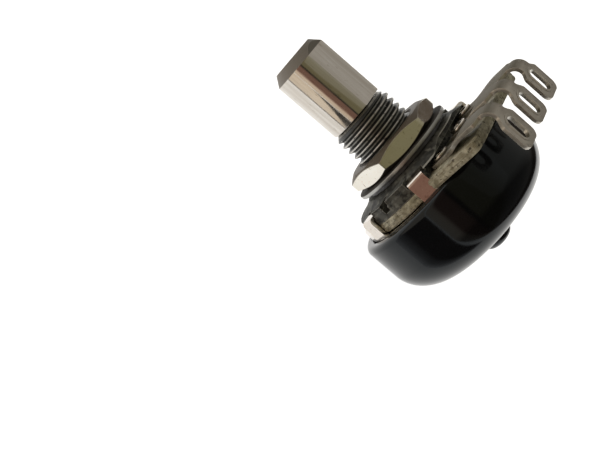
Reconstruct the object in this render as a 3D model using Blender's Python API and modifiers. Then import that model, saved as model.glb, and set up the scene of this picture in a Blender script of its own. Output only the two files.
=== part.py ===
"""Rotary panel potentiometer, 16 mm class, with solder lugs and a push-on vinyl dust cap.

Frame: origin on the shaft axis at the panel seating face (the front of the plate's boss),
-Y along the shaft towards its tip, +Z towards the solder lugs, metres.
Lengths below are in millimetres and are turned into metres by MM.
"""
import math

import bmesh
import bpy

MM = 0.001

# Driving dimensions, mm. Y places are measured from the panel seating face.
SHAFT_R = 6.35 / 2
SHAFT_TIP_Y = -15.0
SHAFT_CHAMFER_LENGTH = 1.05
SHAFT_CHAMFER_DEPTH = 0.8
SHAFT_FLAT_DEPTH = 0.5
JOURNAL_R = 2.25
SPIGOT_R = 1.7
SPIGOT_HALF_FLAT = 1.25
SPIGOT_START_Y = 3.6
SPIGOT_END_Y = 6.9
CLIP_GROOVE_R = 1.75

THREAD_R = 3.5
THREAD_DEPTH = 0.45
THREAD_PITCH = 0.75
BUSHING_FRONT_Y = -6.5
BUSHING_FRONT_R = 2.91
BUSHING_BORE_R = 2.31

BOSS_R = 5.8
PLATE_R = 7.9
PLATE_FRONT_Y = 0.8
PLATE_BACK_Y = 1.8
PLATE_TOP_Z = 4.4
RECESS_R = 3.9
RECESS_Y = 0.75

NUT_ACROSS_FLATS = 10.0
NUT_FRONT_Y = -2.85
NUT_BACK_Y = -0.92
NUT_BORE_R = 3.57
NUT_TURN_DEG = 12.5

WASHER_R = 6.0
WASHER_BORE_R = 3.62
WASHER_Y = (-0.88, -0.48)
LOCK_WASHER_R = 5.2
LOCK_WASHER_Y = (-0.44, -0.04)
LOCK_WASHER_TEETH = 8

WAFER_R = 8.05
WAFER_Y = (1.85, 2.9)
WAFER_HOLE_R = 2.8
TONGUE_HALF_WIDTH = 7.3
TONGUE_TOP_Z = 11.0
TONGUE_CORNER = 1.0

CAN_R = 8.5
CAN_WALL = 0.35
CAN_SKIRT_Y = 1.95
CAN_RIM_Y = 2.97
CAN_BACK_Y = 8.8
CAN_CORNER_R = 0.9
TAB_ANGLES_DEG = (27.5, 152.5, 207.5, 332.5)
TAB_WIDTH = 1.9
TAB_FOLD_Y = 0.7
SKIRT_HALF_ANGLE_DEG = 56.0

CAP_R = 9.75
CAP_BORE_R = 8.56
CAP_RIM_Y = 3.0
CAP_LIP_R = 0.7
CAP_SHOULDER = (4.8, 4.06)
CAP_BACK_Y = 11.11
CAP_FLOOR_Y = 9.3
CAP_NUB_R = 1.95
CAP_NUB_Y = 12.95

LUG_EYELET_X = {"left": -4.25, "centre": 0.35, "right": 4.95}
LUG_THICKNESS = 0.37
LUG_ROOT_Y = 1.635
LUG_BEND_Y = {"left": 1.3, "centre": 0.98, "right": 0.98}
LUG_BEND_R = 1.0
LUG_PLANE_Z = 13.55
LUG_END_Y = 6.05
LUG_HALF_WIDTH = 1.6
LUG_ROOT_HALF_WIDTH = 1.2
LUG_BASE_HALF_WIDTH = 1.7
LUG_NECK_HALF_WIDTH = 0.95
LUG_LEAN_END_Z = 10.0
EYELET_SLOT = (1.2, 2.6)
EYELET_SLOT_Y = 4.1

RIVET_SHANK_R = 0.62
RIVET_HEAD_R = 0.95
RIVET_HOLE_R = 0.68
RIVET_HEAD_HEIGHT = 0.3
RIVET_PLACES = {"left": (-4.2, 5.6), "centre": (0.0, 6.6), "right": (4.2, 5.6)}

TRACK_RADII = (4.7, 6.3)
TRACK_GAP_DEG = 38.0
TRACK_Y = (2.92, 2.98)
END_PAD_REACH_R = 7.9
COLLECTOR_RADII = (3.0, 4.0)
WIPER_Y = (3.45, 3.6)
WIPER_TIP_R = 5.5

ROTOR_DISC_R = 6.0
ROTOR_DISC_Y = (3.65, 4.9)
ROTOR_BOSS_R = 3.3
ROTOR_BOSS_END_Y = 6.6
STOP_LUG_WIDTH = 1.6
STOP_LUG_R = 7.6
STOP_Y = (5.0, 6.2)
STOP_HALF_ANGLE_DEG = 22.5

SEGMENTS = 40
SMALL_SEGMENTS = 24
MERGE = 1e-6
SHARP_ANGLE = math.radians(32)


# Scene and materials

def clear_scene():
    for obj in list(bpy.data.objects):
        bpy.data.objects.remove(obj, do_unlink=True)


def new_collection(name):
    collection = bpy.data.collections.new(name)
    bpy.context.scene.collection.children.link(collection)
    return collection


def make_material(name, colour, metallic, roughness):
    material = bpy.data.materials.new(name)
    material.use_nodes = True
    shader = material.node_tree.nodes["Principled BSDF"]
    shader.inputs["Base Color"].default_value = (*colour, 1.0)
    shader.inputs["Metallic"].default_value = metallic
    shader.inputs["Roughness"].default_value = roughness
    return material


# Shape helpers. A profile is a list of (radius, y); an outline is a list of (x, z).

def arc(centre, radii, start_deg, end_deg, steps):
    """Points on an ellipse quarter or arc about centre, both ends included."""
    points = []
    for step in range(steps + 1):
        angle = math.radians(start_deg + (end_deg - start_deg) * step / steps)
        points.append((centre[0] + radii[0] * math.cos(angle),
                       centre[1] + radii[1] * math.sin(angle)))
    return points


def circle(radius, segments=SEGMENTS, centre=(0.0, 0.0)):
    return arc(centre, (radius, radius), 0, 360 * (segments - 1) / segments, segments - 1)


def link(obj, collection, material=None):
    collection.objects.link(obj)
    if material is not None:
        obj.data.materials.append(material)
    return obj


def turned(name, profile, collection, material=None, segments=SEGMENTS):
    """Lathe about the Y axis. The profile runs from front to back down the outer side; one
    that starts and ends on the axis is solid, any other is a ring and closes on itself."""
    solid = abs(profile[0][0]) < MERGE and abs(profile[-1][0]) < MERGE
    mesh = bpy.data.meshes.new(name)
    vertices = [(radius * MM, 0.0, -y * MM) for radius, y in profile]
    edges = [(i, i + 1) for i in range(len(profile) - 1)]
    if not solid:
        edges.append((len(profile) - 1, 0))
    mesh.from_pydata(vertices, edges, [])
    obj = link(bpy.data.objects.new(name, mesh), collection, material)
    obj.rotation_euler.x = math.pi / 2
    screw = obj.modifiers.new("turn", "SCREW")
    screw.steps = segments
    screw.render_steps = segments
    screw.use_merge_vertices = True
    screw.merge_threshold = MERGE
    screw.use_smooth_shade = True
    return obj


def extruded(name, outlines, y_range, collection, material=None):
    """Flat plate in the XZ plane between two Y places; outlines after the first are holes."""
    curve = bpy.data.curves.new(name, "CURVE")
    curve.dimensions = "2D"
    curve.fill_mode = "BOTH"
    curve.extrude = (y_range[1] - y_range[0]) / 2 * MM
    for outline in outlines:
        spline = curve.splines.new("POLY")
        spline.points.add(len(outline) - 1)
        for point, (x, z) in zip(spline.points, outline):
            point.co = (x * MM, z * MM, 0.0, 1.0)
        spline.use_cyclic_u = True
    obj = link(bpy.data.objects.new(name, curve), collection, material)
    obj.rotation_euler.x = math.pi / 2
    obj.location.y = (y_range[0] + y_range[1]) / 2 * MM
    return obj


def as_mesh(obj, collection, material=None):
    """Replace an object by a welded mesh of what it evaluates to, in world space."""
    bpy.context.view_layer.update()
    evaluated = obj.evaluated_get(bpy.context.evaluated_depsgraph_get())
    mesh = bpy.data.meshes.new_from_object(evaluated)
    mesh.transform(obj.matrix_world)
    work = bmesh.new()
    work.from_mesh(mesh)
    bmesh.ops.remove_doubles(work, verts=work.verts, dist=MERGE)
    work.to_mesh(mesh)
    work.free()
    name = obj.name
    bpy.data.objects.remove(obj, do_unlink=True)
    mesh.materials.clear()
    return link(bpy.data.objects.new(name, mesh), collection, material)


def box(name, low, high, collection, turn_deg=0.0):
    """Box between two corners in mm, turned about the Y axis (from +X towards +Z)."""
    work = bmesh.new()
    bmesh.ops.create_cube(work, size=1.0)
    mesh = bpy.data.meshes.new(name)
    for vertex in work.verts:
        for axis in range(3):
            middle = (low[axis] + high[axis]) / 2
            vertex.co[axis] = (middle + vertex.co[axis] * (high[axis] - low[axis])) * MM
    work.to_mesh(mesh)
    work.free()
    obj = link(bpy.data.objects.new(name, mesh), collection)
    obj.rotation_euler.y = -math.radians(turn_deg)
    return obj


def as_cutter(obj):
    obj.hide_render = True
    obj.display_type = "WIRE"
    return obj


def boolean(obj, cutter, operation="DIFFERENCE"):
    modifier = obj.modifiers.new(operation.lower(), "BOOLEAN")
    modifier.operation = operation
    modifier.solver = "EXACT"
    modifier.object = as_cutter(cutter)
    return obj


def smooth(obj):
    obj.data.shade_smooth()
    obj.data.set_sharp_from_angle(angle=SHARP_ANGLE)
    return obj


def polar(radius, angle_deg):
    angle = math.radians(angle_deg)
    return radius * math.cos(angle), radius * math.sin(angle)


def sector(radii, start_deg, end_deg, steps):
    """Outline of part of a flat ring."""
    outer = arc((0, 0), (radii[1], radii[1]), start_deg, end_deg, steps)
    inner = arc((0, 0), (radii[0], radii[0]), end_deg, start_deg, steps)
    return outer + inner


# Fixed front: plate with threaded bushing

def thread_profile():
    """Outer side of the threaded bushing, front to back: chamfer, then V grooves."""
    chamfer_y = BUSHING_FRONT_Y + (THREAD_R - BUSHING_FRONT_R)
    points = [(BUSHING_FRONT_R, BUSHING_FRONT_Y), (THREAD_R, chamfer_y)]
    crest_y = chamfer_y
    while crest_y + THREAD_PITCH < -THREAD_PITCH / 2:
        points.append((THREAD_R - THREAD_DEPTH, crest_y + THREAD_PITCH / 2))
        crest_y += THREAD_PITCH
        points.append((THREAD_R, crest_y))
    points.append((THREAD_R - THREAD_DEPTH, crest_y + THREAD_PITCH / 2))
    points.append((THREAD_R - THREAD_DEPTH, 0.0))
    return points


def build_front_plate(parts, cutters, material):
    profile = thread_profile() + [
        (BOSS_R - 0.1, 0.0), (BOSS_R, 0.1), (BOSS_R, PLATE_FRONT_Y),
        (PLATE_R - 0.15, PLATE_FRONT_Y), (PLATE_R, PLATE_FRONT_Y + 0.15),
        (PLATE_R, PLATE_BACK_Y), (RECESS_R, PLATE_BACK_Y), (RECESS_R, RECESS_Y),
        (BUSHING_BORE_R, RECESS_Y), (BUSHING_BORE_R, BUSHING_FRONT_Y)]
    plate = turned("front_plate", profile, parts, material)
    top = box("cut_plate_top", (-9, PLATE_FRONT_Y, PLATE_TOP_Z), (9, 2.5, 9), cutters)
    boolean(plate, top)
    for angle in TAB_ANGLES_DEG:
        notch = box(f"cut_tab_seat_{angle:g}", (6.9, 0.5, -1.2), (9, 1.12, 1.2), cutters, angle)
        boolean(plate, notch)
    for angle in (-4.5, 184.5, 270.0):
        groove = box(f"cut_plate_groove_{angle:g}", (6.3, 0.5, -0.4), (9, 1.35, 0.4),
                     cutters, angle)
        boolean(plate, groove)
    return smooth(plate)


# Turning pieces

def double_d(radius, half_flat):
    """Round outline with two flats, at +Z and -Z."""
    flat_angle = math.degrees(math.asin(half_flat / radius))
    right = arc((0, 0), (radius, radius), -flat_angle, flat_angle, 8)
    left = arc((0, 0), (radius, radius), 180 - flat_angle, 180 + flat_angle, 8)
    return right + left


def build_shaft(parts, cutters, material):
    shoulder_y = BUSHING_FRONT_Y - 0.1
    groove = (1.1, 1.56)
    profile = [
        (0.0, SHAFT_TIP_Y), (SHAFT_R - SHAFT_CHAMFER_DEPTH, SHAFT_TIP_Y),
        (SHAFT_R, SHAFT_TIP_Y + SHAFT_CHAMFER_LENGTH), (SHAFT_R, shoulder_y),
        (JOURNAL_R, shoulder_y), (JOURNAL_R, groove[0]), (CLIP_GROOVE_R, groove[0]),
        (CLIP_GROOVE_R, groove[1]), (JOURNAL_R, groove[1]), (JOURNAL_R, SPIGOT_START_Y),
        (0.0, SPIGOT_START_Y)]
    shaft = turned("shaft", profile, parts, material)
    spigot = extruded("join_spigot", [double_d(SPIGOT_R, SPIGOT_HALF_FLAT)],
                      (SPIGOT_START_Y - 0.4, SPIGOT_END_Y), cutters)
    boolean(shaft, as_mesh(spigot, cutters), "UNION")
    flat = box("cut_shaft_flat", (-4, SHAFT_TIP_Y - 1, SHAFT_R - SHAFT_FLAT_DEPTH),
               (4, shoulder_y + 0.05, 5), cutters)
    boolean(shaft, flat)
    return smooth(shaft)


def build_thrust_pieces(parts, material):
    profile = [(2.34, 0.79), (3.75, 0.79), (3.75, 1.07), (2.34, 1.07)]
    turned("thrust_washer", profile, parts, material, SMALL_SEGMENTS)
    mouth = math.degrees(math.asin(1.2 / 3.3))
    outer = arc((0, 0), (3.3, 3.3), -90 + mouth, 270 - mouth, 28)
    inner_mouth = math.degrees(math.asin(1.2 / 1.8))
    inner = arc((0, 0), (1.8, 1.8), 270 - inner_mouth, -90 + inner_mouth, 20)
    extruded("retaining_clip", [outer + inner], (1.14, 1.52), parts, material)


def build_rotor(parts, cutters, material):
    profile = [(0.0, ROTOR_DISC_Y[0]), (ROTOR_DISC_R, ROTOR_DISC_Y[0]),
               (ROTOR_DISC_R, ROTOR_DISC_Y[1]), (ROTOR_BOSS_R, ROTOR_DISC_Y[1]),
               (ROTOR_BOSS_R, ROTOR_BOSS_END_Y), (0.0, ROTOR_BOSS_END_Y)]
    rotor = turned("rotor_hub", profile, parts, material)
    half = STOP_LUG_WIDTH / 2
    lug = box("join_stop_lug", (-half, 4.3, -STOP_LUG_R), (half, STOP_Y[1], -2.6), cutters)
    boolean(rotor, lug, "UNION")
    bore = extruded("cut_rotor_bore", [double_d(SPIGOT_R + 0.03, SPIGOT_HALF_FLAT + 0.03)],
                    (ROTOR_DISC_Y[0] - 1, ROTOR_BOSS_END_Y + 1), cutters)
    boolean(rotor, as_mesh(bore, cutters))
    return smooth(rotor)


def build_wiper(parts, cutters, material):
    """Stamped ring with one arm; three dimples press on the track and the collector."""
    half_arm = 0.75
    arm_angle = math.degrees(math.asin(half_arm / 4.3))
    rim = arc((0, 0), (4.3, 4.3), -90 + arm_angle, 270 - arm_angle, 40)
    outline = rim + [(-half_arm, -WIPER_TIP_R - 0.4), (half_arm, -WIPER_TIP_R - 0.4)]
    wiper = extruded("wiper_contact", [outline, circle(2.5, SMALL_SEGMENTS)], WIPER_Y, parts)
    wiper = as_mesh(wiper, parts, material)
    collector_r = sum(COLLECTOR_RADII) / 2
    dimples = {"track": (0.0, -WIPER_TIP_R), "left": (-collector_r, 0.0),
               "right": (collector_r, 0.0)}
    for name, (x, z) in dimples.items():
        tip_y = TRACK_Y[1] + 0.04
        dimple = extruded(f"join_dimple_{name}", [circle(0.35, 12, (x, z))],
                          (tip_y, WIPER_Y[0] + 0.08), cutters)
        boolean(wiper, as_mesh(dimple, cutters), "UNION")
    return wiper


# Nut and washers

def build_nut(parts, cutters, material):
    corner_r = NUT_ACROSS_FLATS / 2 / math.cos(math.radians(30))
    hexagon = arc((0, 0), (corner_r, corner_r), NUT_TURN_DEG, NUT_TURN_DEG + 300, 5)
    nut = extruded("hex_nut", [hexagon], (NUT_FRONT_Y, NUT_BACK_Y), parts)
    nut = as_mesh(nut, parts, material)
    face_r = NUT_ACROSS_FLATS / 2 - 0.1
    drop = (corner_r + 0.6 - face_r) * math.tan(math.radians(30))
    lens = [(0.0, NUT_FRONT_Y - 0.001), (face_r, NUT_FRONT_Y - 0.001),
            (corner_r + 0.6, NUT_FRONT_Y + drop), (corner_r + 0.6, NUT_BACK_Y - drop),
            (face_r, NUT_BACK_Y + 0.001), (0.0, NUT_BACK_Y + 0.001)]
    boolean(nut, turned("cut_nut_chamfers", lens, cutters), "INTERSECT")
    lead = 0.3
    bore = [(0.0, NUT_FRONT_Y - 1), (NUT_BORE_R + lead + 1, NUT_FRONT_Y - 1),
            (NUT_BORE_R, NUT_FRONT_Y + lead), (NUT_BORE_R, NUT_BACK_Y - lead),
            (NUT_BORE_R + lead + 1, NUT_BACK_Y + 1), (0.0, NUT_BACK_Y + 1)]
    boolean(nut, turned("cut_nut_bore", bore, cutters))
    return smooth(nut)


def build_washers(parts, material):
    front, back = WASHER_Y
    profile = [(WASHER_BORE_R, front), (WASHER_R - 0.08, front), (WASHER_R, front + 0.08),
               (WASHER_R, back - 0.08), (WASHER_R - 0.08, back), (WASHER_BORE_R, back)]
    smooth(turned("flat_washer", profile, parts, material))
    teeth = []
    step = 360 / LOCK_WASHER_TEETH
    for tooth in range(LOCK_WASHER_TEETH):
        for radius, offset in ((WASHER_BORE_R, 0.1), (WASHER_BORE_R, 0.4), (4.2, 0.5), (4.2, 1.0)):
            teeth.append(polar(radius, step * (tooth + offset)))
    extruded("lock_washer", [circle(LOCK_WASHER_R), teeth], LOCK_WASHER_Y, parts, material)


# Wafer, track and terminals

def tongue_outline():
    """Round wafer with the tongue that carries the lugs."""
    side_angle = math.degrees(math.acos(TONGUE_HALF_WIDTH / WAFER_R))
    disc = arc((0, 0), (WAFER_R, WAFER_R), 180 - side_angle, 360 + side_angle, 48)
    return disc + [(TONGUE_HALF_WIDTH, TONGUE_TOP_Z - TONGUE_CORNER),
                   (TONGUE_HALF_WIDTH - TONGUE_CORNER, TONGUE_TOP_Z),
                   (TONGUE_CORNER - TONGUE_HALF_WIDTH, TONGUE_TOP_Z),
                   (-TONGUE_HALF_WIDTH, TONGUE_TOP_Z - TONGUE_CORNER)]


def build_wafer(parts, cutters, material):
    holes = [circle(RIVET_HOLE_R, 16, place) for place in RIVET_PLACES.values()]
    wafer = extruded("wafer", [tongue_outline(), circle(WAFER_HOLE_R, SMALL_SEGMENTS)] + holes,
                     WAFER_Y, parts)
    wafer = as_mesh(wafer, parts, material)
    half = TAB_WIDTH / 2 + 0.15
    for angle in TAB_ANGLES_DEG:
        notch = box(f"cut_wafer_notch_{angle:g}", (CAN_R - CAN_WALL - 0.12, 1, -half),
                    (10.5, 4, half), cutters, angle)
        boolean(wafer, notch)
    return smooth(wafer)


def build_track(parts, cutters, track_material, silver_material, collector_material):
    start = 90 + TRACK_GAP_DEG
    end = 450 - TRACK_GAP_DEG
    extruded("resistive_track", [sector(TRACK_RADII, start, end, 48)], TRACK_Y, parts,
             track_material)
    for side, sign in (("left", 1), ("right", -1)):
        first = 90 + sign * (TRACK_GAP_DEG - 0.5)
        last = 90 + sign * 26
        low, high = sorted((first, last))
        pad = extruded(f"end_pad_{side}", [sector((TRACK_RADII[0], END_PAD_REACH_R), low, high, 6)],
                       TRACK_Y, parts)
        pad = as_mesh(pad, parts, silver_material)
        hole = extruded(f"cut_pad_{side}", [circle(RIVET_HOLE_R, 16, RIVET_PLACES[side])],
                        (TRACK_Y[0] - 1, TRACK_Y[1] + 1), cutters)
        boolean(pad, as_mesh(hole, cutters))
    ring = extruded("collector_ring", [circle(COLLECTOR_RADII[1]), circle(COLLECTOR_RADII[0])],
                    TRACK_Y, parts)
    ring = as_mesh(ring, parts, collector_material)
    arm = box("join_collector_arm", (-1.1, TRACK_Y[0], 3.5), (1.1, TRACK_Y[1], 7.6), cutters)
    boolean(ring, arm, "UNION")
    hole = extruded("cut_collector", [circle(RIVET_HOLE_R, 16, RIVET_PLACES["centre"])],
                    (TRACK_Y[0] - 1, TRACK_Y[1] + 1), cutters)
    boolean(ring, as_mesh(hole, cutters))


def ease(value):
    value = min(max(value, 0.0), 1.0)
    return value * value * (3 - 2 * value)


def lug_rows(side):
    """Rows of the lug's middle surface from root to tip: (centre x, half width, y, z).

    The lug lies flat on the wafer round its rivet, then leans forward off it, spreads to a wide
    base and narrows to the neck where it is bent back over the wafer's edge.
    """
    rivet_x, rivet_z = RIVET_PLACES[side]
    eyelet_x = LUG_EYELET_X[side]
    front_y = LUG_BEND_Y[side]
    root_z = rivet_z - 0.85
    lean_z = rivet_z + 1.0
    bend_z = LUG_PLANE_Z - LUG_BEND_R
    spread = LUG_BASE_HALF_WIDTH - LUG_ROOT_HALF_WIDTH
    narrowing = LUG_NECK_HALF_WIDTH - LUG_BASE_HALF_WIDTH
    rows = []
    for step in range(12):
        z = root_z + (bend_z - root_z) * step / 11
        y = LUG_ROOT_Y + (front_y - LUG_ROOT_Y) * ease((z - lean_z) / (LUG_LEAN_END_Z - lean_z))
        x = rivet_x + (eyelet_x - rivet_x) * ease((z - 6.6) / 2.6)
        half = LUG_ROOT_HALF_WIDTH + spread * ease((z - 6.6) / 2.0)
        half += narrowing * ease((z - 11.6) / 0.95)
        rows.append((x, half, y, z))
    centre = (front_y + LUG_BEND_R, bend_z)
    for y, z in arc(centre, (LUG_BEND_R, LUG_BEND_R), 180, 90, 8)[1:]:
        rows.append((eyelet_x, LUG_NECK_HALF_WIDTH, y, z))
    for y, half in ((2.4, LUG_NECK_HALF_WIDTH), (3.0, LUG_HALF_WIDTH),
                    (LUG_END_Y - 0.65, LUG_HALF_WIDTH), (LUG_END_Y, 0.75)):
        rows.append((eyelet_x, half, y, LUG_PLANE_Z))
    return rows


def slot_outline(width, length):
    """Rounded slot, long axis along local Y."""
    radius = width / 2
    reach = length / 2 - radius
    return (arc((0, reach), (radius, radius), 0, 180, 8)
            + arc((0, -reach), (radius, radius), 180, 360, 8))


def build_terminal(side, parts, cutters, material):
    vertices = []
    faces = []
    for x, half, y, z in lug_rows(side):
        for edge in (-1, 1):
            vertices.append(((x + edge * half) * MM, y * MM, z * MM))
    for first in range(0, len(vertices) - 2, 2):
        faces.append((first, first + 1, first + 3, first + 2))
    mesh = bpy.data.meshes.new(f"terminal_{side}")
    mesh.from_pydata(vertices, [], faces)
    terminal = link(bpy.data.objects.new(f"terminal_{side}", mesh), parts, material)
    shell = terminal.modifiers.new("sheet", "SOLIDIFY")
    shell.thickness = LUG_THICKNESS * MM
    shell.offset = 0.0
    shell.use_even_offset = True
    slot = extruded(f"cut_slot_{side}", [slot_outline(*EYELET_SLOT)], (-2, 2), cutters)
    slot.rotation_euler.x = 0.0
    slot.location = (LUG_EYELET_X[side] * MM, EYELET_SLOT_Y * MM, LUG_PLANE_Z * MM)
    boolean(terminal, as_mesh(slot, cutters))
    hole = extruded(f"cut_lug_hole_{side}", [circle(RIVET_HOLE_R, 16, RIVET_PLACES[side])],
                    (LUG_ROOT_Y - 1, LUG_ROOT_Y + 1), cutters)
    boolean(terminal, as_mesh(hole, cutters))
    return smooth(terminal)


def build_rivet(side, parts, material):
    """Tubular rivet through the lug, the wafer and the conductor behind it."""
    x, z = RIVET_PLACES[side]
    front = LUG_ROOT_Y - LUG_THICKNESS / 2 - 0.03
    back = TRACK_Y[1] + 0.02
    front_end = front - RIVET_HEAD_HEIGHT
    back_end = back + RIVET_HEAD_HEIGHT
    mouth_r = RIVET_SHANK_R - 0.2
    profile = [
        (mouth_r, front_end), (RIVET_HEAD_R - 0.1, front_end), (RIVET_HEAD_R, front_end + 0.1),
        (RIVET_HEAD_R, front), (RIVET_SHANK_R, front), (RIVET_SHANK_R, back),
        (RIVET_HEAD_R, back), (RIVET_HEAD_R - 0.1, back_end), (mouth_r, back_end)]
    rivet = turned(f"terminal_rivet_{side}", profile, parts, material, 24)
    rivet.location = (x * MM, 0.0, z * MM)
    return smooth(rivet)


# Covers

def tab_outline():
    """Section of a folded tab in its own radial plane, as (radius, y)."""
    outer = CAN_R - 0.06
    inner = outer - CAN_WALL
    bend = 0.45
    centre = (inner - 0.1, TAB_FOLD_Y + CAN_WALL + bend - 0.3)
    outside = arc(centre, (outer - centre[0], centre[1] - TAB_FOLD_Y), 0, -90, 4)
    inside = arc(centre, (inner - centre[0], centre[1] - TAB_FOLD_Y - CAN_WALL), -90, 0, 4)
    return ([(outer, CAN_RIM_Y + 0.6)] + outside + [(7.15, TAB_FOLD_Y - 0.02),
            (7.15, TAB_FOLD_Y + CAN_WALL - 0.02)] + inside + [(inner, CAN_RIM_Y + 0.6)])


def build_can(parts, cutters, material):
    corner = CAN_BACK_Y - CAN_CORNER_R
    inner_corner_r = CAN_CORNER_R - CAN_WALL
    inner_r = CAN_R - CAN_WALL
    outer_side = arc((CAN_R - CAN_CORNER_R, corner), (CAN_CORNER_R, CAN_CORNER_R), 0, 90, 3)
    inner_side = arc((CAN_R - CAN_CORNER_R, corner), (inner_corner_r, inner_corner_r), 90, 0, 3)
    profile = ([(CAN_R, CAN_SKIRT_Y)] + outer_side + [(0.0, CAN_BACK_Y), (0.0, CAN_BACK_Y - CAN_WALL)]
               + inner_side + [(inner_r, CAN_SKIRT_Y)])
    can = turned("rear_can", profile, parts, material)
    cut = sector((5.0, 12.0), SKIRT_HALF_ANGLE_DEG - 90, 270 - SKIRT_HALF_ANGLE_DEG, 24)
    relief = extruded("cut_can_skirt", [cut], (0.5, CAN_RIM_Y), cutters)
    boolean(can, as_mesh(relief, cutters))
    for angle in TAB_ANGLES_DEG:
        half = TAB_WIDTH / 2
        tab = extruded(f"join_tab_{angle:g}", [tab_outline()], (-half, half), cutters)
        tab.rotation_euler = (0.0, -math.radians(angle), 0.0)
        boolean(can, as_mesh(tab, cutters), "UNION")
    stop = extruded("join_can_stop", [sector((6.9, inner_r + 0.15), 90 - STOP_HALF_ANGLE_DEG,
                                             90 + STOP_HALF_ANGLE_DEG, 12)], STOP_Y, cutters)
    boolean(can, as_mesh(stop, cutters), "UNION")
    return smooth(can)


def build_cap(parts, material):
    lip = arc((CAP_R - CAP_LIP_R, CAP_RIM_Y + CAP_LIP_R), (CAP_LIP_R, CAP_LIP_R), -90, 0, 3)
    shoulder_centre = (CAP_R - CAP_SHOULDER[0], CAP_BACK_Y - CAP_SHOULDER[1])
    shoulder = arc(shoulder_centre, CAP_SHOULDER, 0, 90, 8)
    dish = [(3.6, CAP_BACK_Y - 0.16), (2.6, CAP_BACK_Y - 0.3), (CAP_NUB_R, CAP_BACK_Y - 0.2)]
    nub = arc((0, CAP_BACK_Y + 0.1), (CAP_NUB_R - 0.1, CAP_NUB_Y - CAP_BACK_Y - 0.1), 0, 90, 4)
    inner_corner_r = 1.0
    inner = arc((CAP_BORE_R - inner_corner_r, CAP_FLOOR_Y - inner_corner_r),
                (inner_corner_r, inner_corner_r), 90, 0, 3)
    mouth = [(CAP_BORE_R, CAP_RIM_Y + 0.25), (CAP_BORE_R + 0.2, CAP_RIM_Y)]
    profile = lip + shoulder + dish + nub + [(0.0, CAP_FLOOR_Y)] + inner + mouth
    return smooth(turned("dust_cap", profile, parts, material))


def main():
    clear_scene()
    parts = new_collection("panel_potentiometer")
    cutters = new_collection("cutters")
    steel = make_material("polished_steel", (0.50, 0.47, 0.43), 1.0, 0.22)
    nickel = make_material("nickel_plate", (0.55, 0.51, 0.43), 1.0, 0.25)
    washer_steel = make_material("washer_steel", (0.62, 0.61, 0.58), 1.0, 0.30)
    zinc = make_material("cast_zinc", (0.22, 0.22, 0.21), 1.0, 0.48)
    spring_steel = make_material("spring_steel", (0.25, 0.25, 0.26), 1.0, 0.40)
    tinplate = make_material("tin_plate", (0.60, 0.56, 0.50), 1.0, 0.28)
    lug_plate = make_material("lug_tin_plate", (0.45, 0.42, 0.36), 1.0, 0.38)
    phenolic = make_material("phenolic_board", (0.42, 0.38, 0.28), 0.0, 0.75)
    carbon = make_material("carbon_track", (0.03, 0.03, 0.03), 0.0, 0.60)
    silver = make_material("silver_ink", (0.70, 0.70, 0.70), 1.0, 0.45)
    bronze = make_material("phosphor_bronze", (0.58, 0.40, 0.24), 1.0, 0.30)
    nylon = make_material("moulded_nylon", (0.75, 0.73, 0.66), 0.0, 0.50)
    vinyl = make_material("black_vinyl", (0.012, 0.012, 0.013), 0.0, 0.12)

    build_front_plate(parts, cutters, zinc)
    build_shaft(parts, cutters, steel)
    build_thrust_pieces(parts, spring_steel)
    build_rotor(parts, cutters, nylon)
    build_wiper(parts, cutters, bronze)
    build_nut(parts, cutters, nickel)
    build_washers(parts, washer_steel)
    build_wafer(parts, cutters, phenolic)
    build_track(parts, cutters, carbon, silver, nickel)
    for side in RIVET_PLACES:
        build_terminal(side, parts, cutters, lug_plate)
        build_rivet(side, parts, tinplate)
    build_can(parts, cutters, tinplate)
    build_cap(parts, vinyl)


main()
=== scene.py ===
"""Looks of the panel potentiometer: fine meshes, materials, light and camera.

The frame holds the CAD nodes. Sizes are in millimetres, in the CAD's frame: the shaft lies on
the Y axis with its tip at -Y, and the lugs point up, along Z. A profile is a list of
(radius, y); an outline is a list of (x, z). Angles about the shaft run from +X towards +Z.
"""

import math

import bmesh
import bpy
from mathutils import Euler, Matrix, Vector, noise


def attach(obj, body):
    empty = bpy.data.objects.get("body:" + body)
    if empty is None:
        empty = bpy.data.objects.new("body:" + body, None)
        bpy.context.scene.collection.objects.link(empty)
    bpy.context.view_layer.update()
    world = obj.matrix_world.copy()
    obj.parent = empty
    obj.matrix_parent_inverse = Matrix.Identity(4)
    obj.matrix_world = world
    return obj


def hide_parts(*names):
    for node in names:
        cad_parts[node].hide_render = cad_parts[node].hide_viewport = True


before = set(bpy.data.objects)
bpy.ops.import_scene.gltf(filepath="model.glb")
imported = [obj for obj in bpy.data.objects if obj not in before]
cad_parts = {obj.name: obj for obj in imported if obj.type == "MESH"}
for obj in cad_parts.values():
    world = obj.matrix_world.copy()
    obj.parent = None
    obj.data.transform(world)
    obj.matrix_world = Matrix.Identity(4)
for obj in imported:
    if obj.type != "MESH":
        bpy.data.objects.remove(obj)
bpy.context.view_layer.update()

MM = 0.001
MERGE = 2e-7
ROUND = 144

SHAFT_R = 3.175
SHAFT_TIP_Y = -15.0
SHAFT_CHAMFER = (0.8, 1.05)
SHAFT_FLAT_Z = 2.675
SHAFT_SHOULDER_Y = -6.6
JOURNAL_R = 2.25
CLIP_GROOVE = (1.75, 1.1, 1.56)
SPIGOT = (1.7, 1.25, 3.6, 6.9)

THREAD_R = 3.5
THREAD_DEPTH = 0.45
THREAD_PITCH = 0.75
THREAD_CREST_Y = -5.65
THREAD_CREST_DEG = 125.0
THREAD_GAP = 0.07
BUSHING_FRONT_Y = -6.5
BUSHING_FRONT_R = 2.91
BUSHING_BORE_R = 2.31
BUSHING_ROOT_Y = -0.05
BUSHING_TAIL_Y = 0.4

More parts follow.
